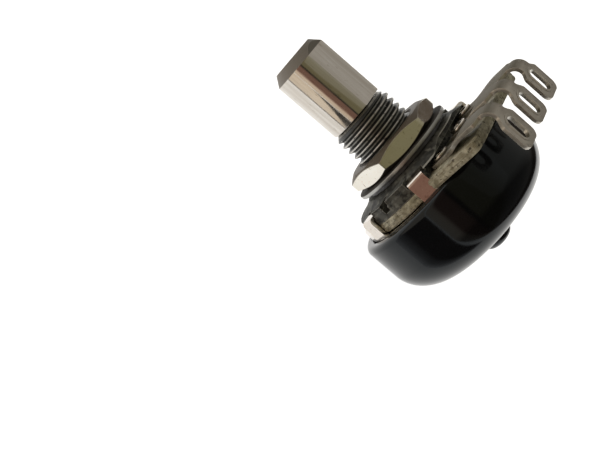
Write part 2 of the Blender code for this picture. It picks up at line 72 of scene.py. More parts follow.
BOSS_R = 5.8
PLATE_R = 7.9
PLATE_Y = (0.8, 1.8)
PLATE_TOP_Z = 4.4
PLATE_SLOPE_R = 7.45
RECESS = (3.9, 0.75)
TAB_ANGLES_DEG = (27.5, 152.5, 207.5, 332.5)
GROOVE_ANGLES_DEG = (-4.5, 184.5, 270.0)
RIM_BLOCKS = (((5.6, 0.35, -1.3), (7.7, 1.5, 1.3), 9.0),
              ((6.0, 0.4, -0.8), (7.75, 1.5, 0.8), -14.0),
              ((5.6, 0.35, -1.3), (7.7, 1.5, 1.3), 171.0))

NUT_ACROSS_FLATS = 10.0
NUT_Y = (-2.85, -0.92)
NUT_TURN_DEG = 12.5
NUT_FACE_R = 4.82
NUT_LEAD_R = 3.85

WASHER_R = (3.62, 6.0)
WASHER_Y = (-0.88, -0.48)

WAFER_R = 8.05
WAFER_Y = (1.85, 2.9)
WAFER_HOLE_R = 2.8
TONGUE_HALF_WIDTH = 7.3
TONGUE_TOP_Z = 11.0
TONGUE_CORNER = 1.0
EDGE_STEP = 0.17
EDGE_ROWS = 10

CAP_R = 9.75
CAP_BORE_R = 8.56
CAP_RIM_Y = 3.0
CAP_LIP_R = 0.7
CAP_SHOULDER = (4.8, 4.06)
CAP_BACK_Y = 11.11
CAP_FLOOR_Y = 9.3
CAP_NUB = (1.95, 12.95)

LUG_EYELET_X = {"left": -4.25, "centre": 0.35, "right": 4.95}
LUG_THICKNESS = 0.37
LUG_ROOT_Y = 1.635
LUG_BEND_Y = {"left": 1.3, "centre": 0.98, "right": 0.98}
LUG_BEND_R = 1.0
LUG_PLANE_Z = 13.55
LUG_END_Y = 6.05
LUG_HALF_WIDTH = 1.6
LUG_ROOT_HALF_WIDTH = 1.2
LUG_BASE_HALF_WIDTH = 1.7
LUG_NECK_HALF_WIDTH = 0.95
LUG_LEAN_END_Z = 10.0
EYELET_SLOT = (1.2, 2.6)
EYELET_SLOT_Y = 4.1
COIN_WIDTH = 0.3
COIN_HEIGHT = 0.045

RIVET_HOLE_R = 0.68
RIVET_HEAD_R = 0.95
RIVET_SHANK_R = 0.62
RIVET_HEAD_HEIGHT = 0.3
RIVET_PLACES = {"left": (-4.2, 5.6), "centre": (0.0, 6.6), "right": (4.2, 5.6)}
TRACK_BACK_Y = 2.98

# Bounce cards: (mm past the card's edge, colour)
CARD_X = (15.5, 350.0)
CARD_FADE = 20.0
CARD_HEIGHT = 0.05
CARD_SPLIT_Y = -3.0
CARD_REACH_Y = 120.0
WARM_STOPS = ((0, (0.75, 0.72, 0.68)), (0.7, (0.08, 0.075, 0.07)), (1.6, (0.08, 0.075, 0.07)),
              (2.6, (0.95, 0.83, 0.68)), (CARD_FADE, (0.95, 0.82, 0.66)))
DARK_STOPS = ((0, (0.85, 0.85, 0.85)), (3, (0.35, 0.35, 0.35)), (9, (0.04, 0.04, 0.04)),
              (CARD_FADE, (0.04, 0.04, 0.04)))

# The room's colours: (degrees about the Y axis, from +X towards +Z, colour)
ROOM_BANDS = ((0, (0.9, 0.77, 0.62)), (8, (0.9, 0.74, 0.58)), (11, (0.80, 0.62, 0.48)),
              (14.5, (0.26, 0.145, 0.11)), (31, (0.24, 0.14, 0.105)),
              (33.5, (0.03, 0.03, 0.025)), (36.5, (0.03, 0.03, 0.025)), (39, (0.21, 0.19, 0.11)),
              (70, (0.22, 0.20, 0.12)), (95, (0.42, 0.40, 0.35)), (140, (0.47, 0.45, 0.41)),
              (153, (0.49, 0.46, 0.415)), (165, (0.11, 0.09, 0.07)), (176, (0.09, 0.07, 0.055)),
              (180, (0.5, 0.5, 0.5)))
HALF_TURN = 180
ROOM_BEHIND_Y = (0.2, 0.55)
ROOM_BEHIND_STRENGTH = 0.25


# Points and profiles

def arc(centre, radii, start_deg, end_deg, steps):
    points = []
    for step in range(steps + 1):
        angle = math.radians(start_deg + (end_deg - start_deg) * step / steps)
        points.append((centre[0] + radii[0] * math.cos(angle),
                       centre[1] + radii[1] * math.sin(angle)))
    return points


def circle(radius, centre=(0.0, 0.0), segments=ROUND):
    return arc(centre, (radius, radius), 0, 360 * (segments - 1) / segments, segments - 1)


def eased(points, radius, steps=4):
    """The closed outline with every corner rounded, by up to radius along each side."""
    result = []
    count = len(points)
    for index, point in enumerate(points):
        corner = Vector(point)
        before = Vector(points[index - 1]) - corner
        after = Vector(points[(index + 1) % count]) - corner
        start = corner + before.normalized() * min(radius, before.length * 0.45)
        end = corner + after.normalized() * min(radius, after.length * 0.45)
        for step in range(steps + 1):
            t = step / steps
            result.append(tuple(start * (1 - t) ** 2 + corner * 2 * t * (1 - t) + end * t ** 2))
    return result


def ease(t):
    t = min(1.0, max(0.0, t))
    return t * t * (3 - 2 * t)


# Meshes

def new_object(name, mesh):
    obj = bpy.data.objects.new(name, mesh)
    bpy.context.scene.collection.objects.link(obj)
    return obj


def closed_mesh(name, vertices, faces):
    """An object from points in mm, welded, with its faces pointing outwards."""
    mesh = bpy.data.meshes.new(name)
    mesh.from_pydata([tuple(c * MM for c in vertex) for vertex in vertices], [], faces)
    work = bmesh.new()
    work.from_mesh(mesh)
    bmesh.ops.remove_doubles(work, verts=work.verts, dist=MERGE)
    bmesh.ops.dissolve_degenerate(work, edges=work.edges, dist=MERGE)
    bmesh.ops.recalc_face_normals(work, faces=work.faces)
    work.to_mesh(mesh)
    work.free()
    return new_object(name, mesh)


def tube(name, rings):
    """A ring-shaped body: every ring is a loop of points, and the last joins the first."""
    vertices = [point for ring in rings for point in ring]
    count = len(rings[0])
    faces = []
    for row in range(len(rings)):
        following = (row + 1) % len(rings)
        for column in range(count):
            beside = (column + 1) % count
            faces.append((row * count + column, row * count + beside,
                          following * count + beside, following * count + column))
    return closed_mesh(name, vertices, faces)


def lathe(name, profile, segments=ROUND):
    """Turn a profile about the Y axis. One that starts and ends on the axis is solid."""
    rings = []
    for radius, y in profile:
        rings.append([(x, y, z) for x, z in circle(max(radius, 0.0), segments=segments)])
    return smooth(tube(name, rings))


def smooth(obj, degrees=32):
    obj.data.shade_smooth()
    obj.data.set_sharp_from_angle(angle=math.radians(degrees))
    return obj


def extruded(name, outlines, low, high):
    """Plate in the local XY plane between two heights; outlines after the first are holes."""
    curve = bpy.data.curves.new(name, "CURVE")
    curve.dimensions = "2D"
    curve.fill_mode = "BOTH"
    curve.extrude = (high - low) / 2 * MM
    for outline in outlines:
        spline = curve.splines.new("POLY")
        spline.points.add(len(outline) - 1)
        for point, (x, y) in zip(spline.points, outline):
            point.co = (x * MM, y * MM, 0.0, 1.0)
        spline.use_cyclic_u = True
    obj = new_object(name, curve)
    obj.location.z = (low + high) / 2 * MM
    return settled(obj)


def settled(obj):
    """Replace an object by a welded mesh of what its modifiers and its place make of it."""
    bpy.context.view_layer.update()
    evaluated = obj.evaluated_get(bpy.context.evaluated_depsgraph_get())
    mesh = bpy.data.meshes.new_from_object(evaluated)
    mesh.transform(obj.matrix_world)
    mesh.materials.clear()
    work = bmesh.new()
    work.from_mesh(mesh)
    bmesh.ops.remove_doubles(work, verts=work.verts, dist=MERGE)
    work.to_mesh(mesh)
    work.free()
    name = obj.name
    bpy.data.objects.remove(obj, do_unlink=True)
    return new_object(name, mesh)


def block(low, high, turn_deg=0.0):
    """Cutter between two corners in mm, turned about the Y axis."""
    work = bmesh.new()
    bmesh.ops.create_cube(work, size=1.0)
    middle = (Vector(low) + Vector(high)) / 2
    size = Vector(high) - Vector(low)
    for vertex in work.verts:
        vertex.co = (middle + vertex.co * size) * MM
    mesh = bpy.data.meshes.new("cutter")
    work.to_mesh(mesh)
    work.free()
    mesh.transform(Matrix.Rotation(-math.radians(turn_deg), 4, "Y"))
    return new_object("cutter", mesh)


def cut(obj, cutter, operation="DIFFERENCE"):
    """Boolean, done at once; the cutter is used up."""
    modifier = obj.modifiers.new("cut", "BOOLEAN")
    modifier.operation = operation
    modifier.solver = "EXACT"
    modifier.object = cutter
    result = settled(obj)
    bpy.data.objects.remove(cutter, do_unlink=True)
    return result


def bevel(obj, width, segments=2, degrees=35, harden=True):
    modifier = obj.modifiers.new("edges", "BEVEL")
    modifier.width = width * MM
    modifier.segments = segments
    modifier.limit_method = "ANGLE"
    modifier.angle_limit = math.radians(degrees)
    modifier.use_clamp_overlap = True
    modifier.harden_normals = harden
    return obj


# Materials. All take their patterns from object coordinates, so they hold in every view.

class Surface:
    """A Principled material built up from noise layers."""

    def __init__(self, name, metallic, roughness):
        self.material = bpy.data.materials.new(name)
        self.material.use_nodes = True
        self.tree = self.material.node_tree
        self.shader = self.tree.nodes["Principled BSDF"]
        self.shader.inputs["Metallic"].default_value = metallic
        self.place = self.tree.nodes.new("ShaderNodeTexCoord").outputs["Object"]
        self.set_range("Roughness", self.noise(900, 4), *roughness)
        self.height = None

    def link(self, source, target):
        self.tree.links.new(source, target)

    def noise(self, scale, detail, stretch=(1.0, 1.0, 1.0), roughness=0.6):
        mapping = self.tree.nodes.new("ShaderNodeMapping")
        mapping.inputs["Scale"].default_value = stretch
        self.link(self.place, mapping.inputs["Vector"])
        node = self.tree.nodes.new("ShaderNodeTexNoise")
        node.inputs["Scale"].default_value = scale
        node.inputs["Detail"].default_value = detail
        node.inputs["Roughness"].default_value = roughness
        self.link(mapping.outputs["Vector"], node.inputs["Vector"])
        return node.outputs["Fac"]

    def limits(self, source, low, high, start=0.3, end=0.7):
        node = self.tree.nodes.new("ShaderNodeMapRange")
        node.inputs["From Min"].default_value = start
        node.inputs["From Max"].default_value = end
        node.inputs["To Min"].default_value = low
        node.inputs["To Max"].default_value = high
        self.link(source, node.inputs["Value"])
        return node.outputs["Result"]

    def set_range(self, socket, source, low, high):
        self.link(self.limits(source, low, high), self.shader.inputs[socket])

    def blend(self, fac, first, second, mode="MIX"):
        """Mix two colours; each is a colour or an output."""
        node = self.tree.nodes.new("ShaderNodeMix")
        node.data_type = "RGBA"
        node.blend_type = mode
        self.link(fac, node.inputs["Factor"])
        for socket, value in ((node.inputs[6], first), (node.inputs[7], second)):
            if isinstance(value, tuple):
                socket.default_value = (*value, 1.0)
            else:
                self.link(value, socket)
        return node.outputs[2]

    def colours(self, *layers):
        """layers: the base colour, then (mask, colour) pairs laid over it."""
        colour = layers[0]
        for mask, over in layers[1:]:
            colour = self.blend(mask, colour, over)
        self.link(colour, self.shader.inputs["Base Color"])
        return self

    def bump(self, source, strength, distance_mm):
        node = self.tree.nodes.new("ShaderNodeBump")
        node.inputs["Strength"].default_value = strength
        node.inputs["Distance"].default_value = distance_mm * MM
        self.link(source, node.inputs["Height"])
        if self.height is not None:
            self.link(self.height, node.inputs["Normal"])
        self.height = node.outputs["Normal"]
        self.link(self.height, self.shader.inputs["Normal"])
        return self

    def edges(self, low=0.2, high=0.55, reach_mm=0.1):
        """Mask of the outward edges, where the materials paint a highlight: close to one, a ray sent
        inwards soon meets a surface.
        """
        node = self.tree.nodes.new("ShaderNodeAmbientOcclusion")
        node.samples = 6
        node.inside = True
        node.only_local = True
        node.inputs["Distance"].default_value = reach_mm * MM
        inverse = self.tree.nodes.new("ShaderNodeMath")
        inverse.operation = "SUBTRACT"
        inverse.inputs[0].default_value = 1.0
        self.link(node.outputs["AO"], inverse.inputs[1])
        return self.limits(inverse.outputs["Value"], 0.0, 1.0, low, high)

    def front_shade_mask(self, low, high):
        """Mask of the faces turned towards -Y, for the painted shade on that side."""
        parts = self.tree.nodes.new("ShaderNodeSeparateXYZ")
        coordinates = self.tree.nodes.new("ShaderNodeTexCoord")
        self.link(coordinates.outputs["Normal"], parts.inputs["Vector"])
        return self.limits(parts.outputs["Y"], 1.0, 0.0, -high, -low)

    def matt(self, mask, roughness=0.6):
        """Turn the finish dull where the mask is full. Where the mask is the faces turned towards
        -Y, the dull finish is painted shade on that side.
        """
        metallic = self.shader.inputs["Metallic"]
        self.link(self.limits(mask, metallic.default_value, 0.0, 0.0, 1.0), metallic)
        level = self.shader.inputs["Specular IOR Level"]
        self.link(self.limits(mask, level.default_value, 0.03, 0.0, 1.0), level)
        socket = self.shader.inputs["Roughness"]
        node = self.tree.nodes.new("ShaderNodeMath")
        node.operation = "MAXIMUM"
        self.link(socket.links[0].from_socket, node.inputs[0])
        self.link(self.limits(mask, 0.0, roughness, 0.0, 1.0), node.inputs[1])
        self.link(node.outputs["Value"], socket)
        return self

    def radius(self):
        """Distance from the shaft's axis, in metres."""
        flat = self.tree.nodes.new("ShaderNodeVectorMath")
        flat.operation = "MULTIPLY"
        flat.inputs[1].default_value = (1.0, 0.0, 1.0)
        self.link(self.place, flat.inputs[0])
        length = self.tree.nodes.new("ShaderNodeVectorMath")
        length.operation = "LENGTH"
        self.link(flat.outputs["Vector"], length.inputs[0])
        return length.outputs["Value"]

    def beyond_radius(self, low, high):
        return self.limits(self.radius(), 0.0, 1.0, low * MM, high * MM)

    def below_radius(self, low, high):
        return self.limits(self.radius(), 1.0, 0.0, low * MM, high * MM)

    def along(self, axis, low, high):
        """Mask rising along X, Y or Z between two places in mm."""
        parts = self.tree.nodes.new("ShaderNodeSeparateXYZ")
        self.link(self.place, parts.inputs["Vector"])
        return self.limits(parts.outputs[axis], 0.0, 1.0, low * MM, high * MM)


def polished_steel():
    s = Surface("polished_steel", 1.0, (0.07, 0.17))
    drawn = s.noise(1500, 4, (1, 0.035, 1))
    turned = s.along("Y", SHAFT_TIP_Y + 1.07, SHAFT_TIP_Y + 1.03)
    # The last layer paints a highlight along the outward edges.
    s.colours((0.60, 0.575, 0.54), (s.limits(drawn, 0, 0.8, 0.42, 0.62), (0.44, 0.405, 0.36)),
              (s.limits(s.noise(350, 5), 0, 0.5), (0.50, 0.46, 0.41)),
              (s.limits(s.noise(2600, 3, (1, 0.3, 1)), 0, 0.6, 0.62, 0.74), (0.27, 0.23, 0.18)),
              (turned, (0.235, 0.222, 0.205)), (s.edges(reach_mm=0.05), (0.66, 0.64, 0.60)))
    s.matt(turned, 0.45)
    s.bump(drawn, 0.18, 0.008)
    return s.bump(s.noise(2400, 3, (1, 0.5, 1)), 0.1, 0.01)


def cast_zinc():
    s = Surface("cast_zinc", 0.2, (0.5, 0.75))
    s.shader.inputs["Specular IOR Level"].default_value = 0.12
    # The last layer paints a highlight along the outward edges.
    s.colours((0.05, 0.052, 0.05), (s.limits(s.noise(420, 6), 0, 1, 0.42, 0.6), (0.13, 0.132, 0.12)),
              (s.limits(s.noise(1400, 5), 0, 0.9, 0.5, 0.62), (0.03, 0.03, 0.028)),
              (s.limits(s.noise(1100, 5), 0, 0.7, 0.56, 0.68), (0.27, 0.27, 0.245)),
              (s.edges(), (0.36, 0.36, 0.33)))
    s.bump(s.noise(2300, 5), 0.5, 0.035)
    return s.bump(s.noise(500, 4), 0.35, 0.07)


def thread_zinc():
    s = Surface("thread_zinc", 0.75, (0.28, 0.5))
    # The lighter bands at the roots and crests and the small bright specks are painted highlights.
    s.colours((0.035, 0.037, 0.036),
              (s.limits(s.noise(900, 4), 0, 0.6), (0.07, 0.07, 0.067)),
              (s.below_radius(3.07, 3.12), (0.26, 0.26, 0.24)),
              (s.beyond_radius(3.41, 3.48), (0.50, 0.49, 0.46)),
              (s.limits(s.noise(2300, 3), 0, 0.85, 0.55, 0.66), (0.03, 0.03, 0.03)),
              (s.limits(s.noise(1900, 2), 0, 1, 0.7, 0.74), (0.7, 0.7, 0.66)))
    return s.bump(s.noise(2600, 4), 0.5, 0.025)


def nickel_plate():
    s = Surface("nickel_plate", 1.0, (0.08, 0.18))
    # The faces turned towards -Y are painted dark and made dull as shade. The lighter outward edges
    # are painted highlights.
    front = s.front_shade_mask(0.35, 0.6)
    s.colours((0.74, 0.72, 0.66), (s.limits(s.noise(300, 5), 0, 0.7), (0.62, 0.58, 0.51)),
              (s.limits(s.noise(2400, 4), 0, 0.6, 0.6, 0.72), (0.22, 0.19, 0.14)),
              (s.edges(reach_mm=0.06), (0.86, 0.84, 0.77)),
              (front, (0.10, 0.082, 0.062)))
    s.matt(front, 0.35)
    s.bump(s.noise(450, 3), 0.08, 0.04)
    return s.bump(s.noise(4200, 3, (1, 0.3, 1)), 0.08, 0.005)


def washer_steel():
    s = Surface("washer_steel", 0.9, (0.3, 0.45))
    # The faces turned towards -Y are painted near black and made dull as shade. The lighter outward
    # edges are painted highlights.
    front = s.front_shade_mask(0.5, 0.8)
    s.colours((0.40, 0.40, 0.385), (s.limits(s.noise(500, 5), 0, 0.8), (0.28, 0.28, 0.265)),
              (front, (0.045, 0.043, 0.04)), (s.edges(), (0.62, 0.62, 0.59)))
    s.matt(front)
    return s.bump(s.noise(2600, 4), 0.25, 0.012)


def spring_steel():
    s = Surface("spring_steel", 0.5, (0.35, 0.55))
    s.colours((0.10, 0.10, 0.105), (s.limits(s.noise(700, 4), 0, 0.8), (0.045, 0.042, 0.042)))
    # The faces turned towards -Y are made dull as painted shade.
    s.matt(s.front_shade_mask(0.5, 0.8))
    return s.bump(s.noise(3000, 3), 0.2, 0.01)


def phenolic_board():
    s = Surface("phenolic_board", 0.0, (0.5, 0.85))
    layers = s.noise(1500, 4, (0.3, 5.0, 0.3))
    fibres = s.noise(1500, 6)
    # The last layer paints a highlight along the outward edges.
    s.colours((0.30, 0.28, 0.20), (s.limits(fibres, 0, 1, 0.42, 0.6), (0.56, 0.54, 0.42)),
              (s.limits(layers, 0, 0.7, 0.52, 0.66), (0.14, 0.12, 0.08)),
              (s.limits(s.noise(2900, 4), 0, 0.9, 0.56, 0.66), (0.05, 0.043, 0.03)),
              (s.edges(), (0.46, 0.44, 0.36)))
    s.bump(layers, 0.6, 0.06)
    return s.bump(fibres, 0.6, 0.06)


def lug_plate():
    s = Surface("lug_plate", 0.8, (0.3, 0.45))
    # The faces turned towards -Y are painted dark and made dull as shade. The lighter outward edges
    # are painted highlights.
    front = s.front_shade_mask(0.3, 0.8)
    s.colours((0.50, 0.47, 0.42), (s.limits(s.noise(480, 5), 0, 0.9), (0.37, 0.345, 0.30)),
              (s.limits(s.noise(2700, 4), 0, 0.6, 0.58, 0.7), (0.11, 0.10, 0.08)),
              (s.edges(reach_mm=0.05), (0.70, 0.68, 0.62)),
              (front, (0.17, 0.16, 0.135)))
    s.matt(front)
    s.bump(s.noise(620, 4), 0.15, 0.03)
    return s.bump(s.noise(3400, 3), 0.2, 0.006)


def tin_plate():
    s = Surface("tin_plate", 1.0, (0.18, 0.32))
    # The last layer paints a highlight along the outward edges.
    s.colours((0.60, 0.56, 0.50), (s.limits(s.noise(520, 5), 0, 0.8), (0.46, 0.41, 0.35)),
              (s.edges(), (0.88, 0.84, 0.76)))
    return s.bump(s.noise(900, 4), 0.15, 0.015)


def can_plate():
    s = Surface("can_plate", 1.0, (0.06, 0.13))
    # The last layer paints a highlight along the outward edges.
    s.colours((0.66, 0.62, 0.57), (s.limits(s.noise(520, 5), 0, 0.6), (0.52, 0.46, 0.40)),
              (s.limits(s.noise(1500, 4), 0, 0.5, 0.55, 0.7), (0.30, 0.23, 0.19)),
              (s.edges(), (0.88, 0.82, 0.74)))
    return s.bump(s.noise(900, 4), 0.12, 0.012)


def black_vinyl():
    s = Surface("black_vinyl", 0.0, (0.07, 0.13))
    s.colours((0.004, 0.004, 0.005), (s.limits(s.noise(260, 4), 0, 0.7), (0.007, 0.007, 0.008)))
    s.shader.inputs["IOR"].default_value = 1.33
    # Less shine where the surface turns away from the view: a painted dark rim that stands in for
    # the shaded floor behind the cap.
    painted_rim_shade = s.tree.nodes.new("ShaderNodeLayerWeight")
    painted_rim_shade.inputs["Blend"].default_value = 0.5
    s.link(s.limits(painted_rim_shade.outputs["Facing"], 0.5, 0.05, 0.80, 0.95),
           s.shader.inputs["Specular IOR Level"])
    # The bluish tint of the cap's reflections is a painted tint that stands in for the colour of the
    # light.
    s.shader.inputs["Specular Tint"].default_value = (0.82, 0.93, 1.0, 1.0)
    s.bump(s.noise(160, 3), 0.25, 0.05)
    return s.bump(s.noise(1900, 3), 0.05, 0.006)


def moulded_nylon():
    s = Surface("moulded_nylon", 0.0, (0.4, 0.55))
    s.colours((0.72, 0.70, 0.63), (s.limits(s.noise(500, 4), 0, 0.6), (0.62, 0.59, 0.5)))
    return s.bump(s.noise(2200, 3), 0.12, 0.01)


def phosphor_bronze():
    s = Surface("phosphor_bronze", 1.0, (0.22, 0.38))
    s.colours((0.66, 0.44, 0.26), (s.limits(s.noise(600, 4), 0, 0.7), (0.5, 0.31, 0.17)))
    return s.bump(s.noise(2800, 3, (1, 1, 0.2)), 0.15, 0.008)


def carbon_track():
    s = Surface("carbon_track", 0.0, (0.45, 0.7))
    s.colours((0.02, 0.02, 0.021), (s.limits(s.noise(900, 4), 0, 0.8), (0.04, 0.038, 0.036)))
    return s.bump(s.noise(4200, 4), 0.25, 0.006)


def silver_ink():
    s = Surface("silver_ink", 1.0, (0.35, 0.55))
    s.colours((0.72, 0.72, 0.71), (s.limits(s.noise(800, 4), 0, 0.7), (0.58, 0.57, 0.55)))
    return s.bump(s.noise(3600, 4), 0.3, 0.006)


def finish(obj, body, slot, surface, *nodes):
    """Give a new piece its material and body, and hide the CAD nodes it stands for. The slot is not
    used.
    """
    obj.data.materials.append(surface.material)
    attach(obj, body)
    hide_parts(*nodes)
    return obj


# Fixed front

def thread_radius(y, angle_deg):
    """Radius of the right-hand thread, with narrow flats on its crests and roots."""
    crest = THREAD_CREST_Y - THREAD_PITCH * (angle_deg - THREAD_CREST_DEG) / 360
    phase = ((y - crest) / THREAD_PITCH + 0.5) % 1.0 - 0.5
    depth = min(1.0, max(0.0, (abs(phase) - 0.08) / 0.34))
    return THREAD_R - THREAD_DEPTH * depth


def thread_rings(start_y, end_y, radius_at, columns=ROUND, rows=12):
    """Rings that follow the helix between two planes. Past a plane they lie flat on it."""
    span = end_y - start_y
    turns = math.ceil(abs(span) / THREAD_PITCH) + 2
    step = math.copysign(THREAD_PITCH / rows, span)
    low, high = min(start_y, end_y), max(start_y, end_y)
    rings = []
    for row in range(turns * rows + 1):
        ring = []
        for column in range(columns + 1):
            angle = 360 * column / columns
            y = start_y + step * (row - rows) - THREAD_PITCH * (angle - THREAD_CREST_DEG) / 360
            y = min(high, max(low, y))
            radius = radius_at(y, angle)
            ring.append((radius * math.cos(math.radians(angle)), y,
                         radius * math.sin(math.radians(angle))))
        rings.append(ring)
    return rings


def plain_ring(radius, y, columns=ROUND):
    return [(radius * math.cos(math.tau * column / columns), y,
             radius * math.sin(math.tau * column / columns)) for column in range(columns + 1)]


def stitched(name, rings):
    """A ring-shaped body from open rings whose last point meets the first of a ring."""
    vertices = [point for ring in rings for point in ring]
    count = len(rings[0])
    faces = []
    for row in range(len(rings)):
        following = (row + 1) % len(rings)
        for column in range(count - 1):
            faces.append((row * count + column, row * count + column + 1,
                          following * count + column + 1, following * count + column))
    return closed_mesh(name, vertices, faces)


def bushing_radius(y, angle_deg):
    """The thread, cut back by the chamfer at the mouth and run out at the root."""
    chamfer = BUSHING_FRONT_R + (y - BUSHING_FRONT_Y)
    return min(thread_radius(y, angle_deg), chamfer)


def build_bushing():
    root_r = THREAD_R - THREAD_DEPTH
    outer = thread_rings(BUSHING_FRONT_Y, BUSHING_ROOT_Y, bushing_radius)
    mouth = BUSHING_FRONT_Y
    inner = [plain_ring(root_r - 0.02, BUSHING_ROOT_Y + 0.02),
             plain_ring(root_r - 0.02, BUSHING_TAIL_Y), plain_ring(BUSHING_BORE_R, BUSHING_TAIL_Y),
             plain_ring(BUSHING_BORE_R, mouth + 0.2), plain_ring(BUSHING_BORE_R + 0.03, mouth + 0.1),
             plain_ring(BUSHING_BORE_R + 0.15, mouth)]
    return smooth(stitched("threaded_bushing", outer + inner), 50)


def build_plate():
    """The cast plate: a boss, a sloping shoulder, seats for the can's tabs and three grooves."""
    root_r = THREAD_R - THREAD_DEPTH
    front, back = PLATE_Y
    profile = [(root_r, 0.0), (BOSS_R - 0.15, 0.0), (BOSS_R, 0.08), (BOSS_R + 0.12, 0.2),
               (PLATE_SLOPE_R, front), (PLATE_R - 0.12, front), (PLATE_R, front + 0.12),
               (PLATE_R, back), (RECESS[0], back), (RECESS[0], RECESS[1]),
               (BUSHING_BORE_R, RECESS[1]), (BUSHING_BORE_R, BUSHING_TAIL_Y + 0.02),
               (root_r, BUSHING_TAIL_Y + 0.02)]
    plate = lathe("plate_casting", profile, 96)
    plate = cut(plate, block((-9, 0.3, PLATE_TOP_Z + 1.3), (9, 2.5, 9)))
    plate = cut(plate, block((-9, front + 0.02, PLATE_TOP_Z), (9, 2.5, 9)))
    for angle in TAB_ANGLES_DEG:
        plate = cut(plate, block((6.75, 0.2, -1.2), (9, 1.12, 1.2), angle))
    for low, high, angle in RIM_BLOCKS:
        plate = cut(plate, block(low, high, angle), "UNION")
    for angle in GROOVE_ANGLES_DEG:
        plate = cut(plate, block((6.3, -0.5, -0.4), (9, 1.35, 0.4), angle))
    return bevel(smooth(plate), 0.09)


def build_fixed_front():
    zinc = cast_zinc()
    plate = finish(build_plate(), "root", "cast_zinc", zinc, "front_plate")
    thread = thread_zinc()
    finish(build_bushing(), "root", "cast_zinc", thread)
    return plate


# Shaft, nut and washers

def build_shaft():
    depth, length = SHAFT_CHAMFER
    spigot_r, spigot_flat, spigot_start, spigot_end = SPIGOT
    groove_r, groove_start, groove_end = CLIP_GROOVE
    outer = [(0.02, SHAFT_TIP_Y), (SHAFT_R - depth, SHAFT_TIP_Y),
             (SHAFT_R, SHAFT_TIP_Y + length), (SHAFT_R, SHAFT_SHOULDER_Y),
             (JOURNAL_R, SHAFT_SHOULDER_Y), (JOURNAL_R, groove_start), (groove_r, groove_start),
             (groove_r, groove_end), (JOURNAL_R, groove_end), (JOURNAL_R, spigot_start),
             (spigot_r, spigot_start), (spigot_r, spigot_end), (0.02, spigot_end)]
    profile = [(0.0, SHAFT_TIP_Y)] + eased(outer, 0.09)[5:-5] + [(0.0, spigot_end)]
    shaft = lathe("control_shaft", profile)
    flat_start = SHAFT_TIP_Y - 1
    shaft = cut(shaft, block((-4, flat_start, SHAFT_FLAT_Z), (4, SHAFT_SHOULDER_Y + 0.05, 5)))
    for side in (-1, 1):
        low, high = sorted((side * spigot_flat, side * 4))
        shaft = cut(shaft, block((-4, spigot_start + 0.02, low), (4, spigot_end + 1, high)))
    return bevel(smooth(shaft, 20), 0.05, degrees=25)


def nut_thread_radius(y, angle_deg):
    """The bushing's thread with a gap, opened by a lead-in at both faces."""
    lead = NUT_LEAD_R - min(y - NUT_Y[0], NUT_Y[1] - y)
    return max(thread_radius(y, angle_deg) + THREAD_GAP, lead)


def build_nut():
    """Six flats whose corners are turned down by a 30 degree cone at both faces."""
    front, back = NUT_Y
    slope = math.tan(math.radians(30))
    shapes = ([], [], [], [], [], [], [], [])
    for column in range(ROUND + 1):
        angle = 360 * column / ROUND
        from_flat = (angle - NUT_TURN_DEG) % 60 - 30
        flat_r = NUT_ACROSS_FLATS / 2 / math.cos(math.radians(from_flat))
        corner_ease = 0.03 * ease((abs(from_flat) - 28) / 2)
        flat_r -= corner_ease
        drop = (flat_r - NUT_FACE_R) * slope
        places = ((NUT_LEAD_R, front), (NUT_FACE_R - 0.1, front), (NUT_FACE_R, front + 0.02),
                  (flat_r - 0.03, front + drop), (flat_r, front + drop + 0.06),
                  (flat_r, back - drop - 0.06), (flat_r - 0.03, back - drop), (NUT_FACE_R, back))
        for ring, (radius, y) in zip(shapes, places):
            ring.append((radius * math.cos(math.radians(angle)), y,
                         radius * math.sin(math.radians(angle))))
    inner = thread_rings(back, front, nut_thread_radius)
    return smooth(stitched("hex_nut_fine", list(shapes) + inner), 18)


def build_flat_washer():
    front, back = WASHER_Y
    inner, outer = WASHER_R
    corners = [(inner, front), (outer, front), (outer, back), (inner, back)]
    return lathe("flat_washer_fine", eased(corners, 0.1))


def build_turning_and_loose_pieces():
    steel = polished_steel()
    finish(build_shaft(), "rotor", "polished_steel", steel, "shaft")
    nickel = nickel_plate()
    finish(build_nut(), "nut", "nickel_plate", nickel, "hex_nut")
    washer = washer_steel()
    finish(build_flat_washer(), "washers", "washer_steel", washer, "flat_washer")
    repaint("lock_washer", spring_steel(), 0.04)


# Wafer and terminals

def tongue_outline():
    """Round wafer whose tongue runs straight up, in short steps."""
    side_angle = math.degrees(math.acos(TONGUE_HALF_WIDTH / WAFER_R))
    disc = arc((0, 0), (WAFER_R, WAFER_R), 180 - side_angle, 360 + side_angle, 260)
    corners = eased([(TONGUE_HALF_WIDTH, 0.0), (TONGUE_HALF_WIDTH, TONGUE_TOP_Z),
                     (-TONGUE_HALF_WIDTH, TONGUE_TOP_Z), (-TONGUE_HALF_WIDTH, 0.0)],
                    TONGUE_CORNER)[5:-5]
    points = disc[1:-1]
    path = [disc[-1]] + corners + [disc[0]]
    for start, end in zip(path, path[1:]):
        steps = max(1, round(math.dist(start, end) / EDGE_STEP))
        for step in range(steps):
            t = step / steps
            points.append((start[0] + (end[0] - start[0]) * t, start[1] + (end[1] - start[1]) * t))
    return points


def torn_depth(x, y, z, t):
    """How far the punched edge is torn in: deeper at both faces, in layers and in chips."""
    layers = noise.noise(Vector((x * 0.7, y * 7.0, z * 0.7)))
    chips = noise.noise(Vector((x * 2.3, y * 2.3 + 7.0, z * 2.3)))
    rough = noise.noise(Vector((x * 6.0, y * 6.0 + 3.0, z * 6.0)))
    return (0.09 + 0.05 * layers + 0.07 * chips + 0.03 * rough + 0.07 * abs(2 * t - 1) ** 5)


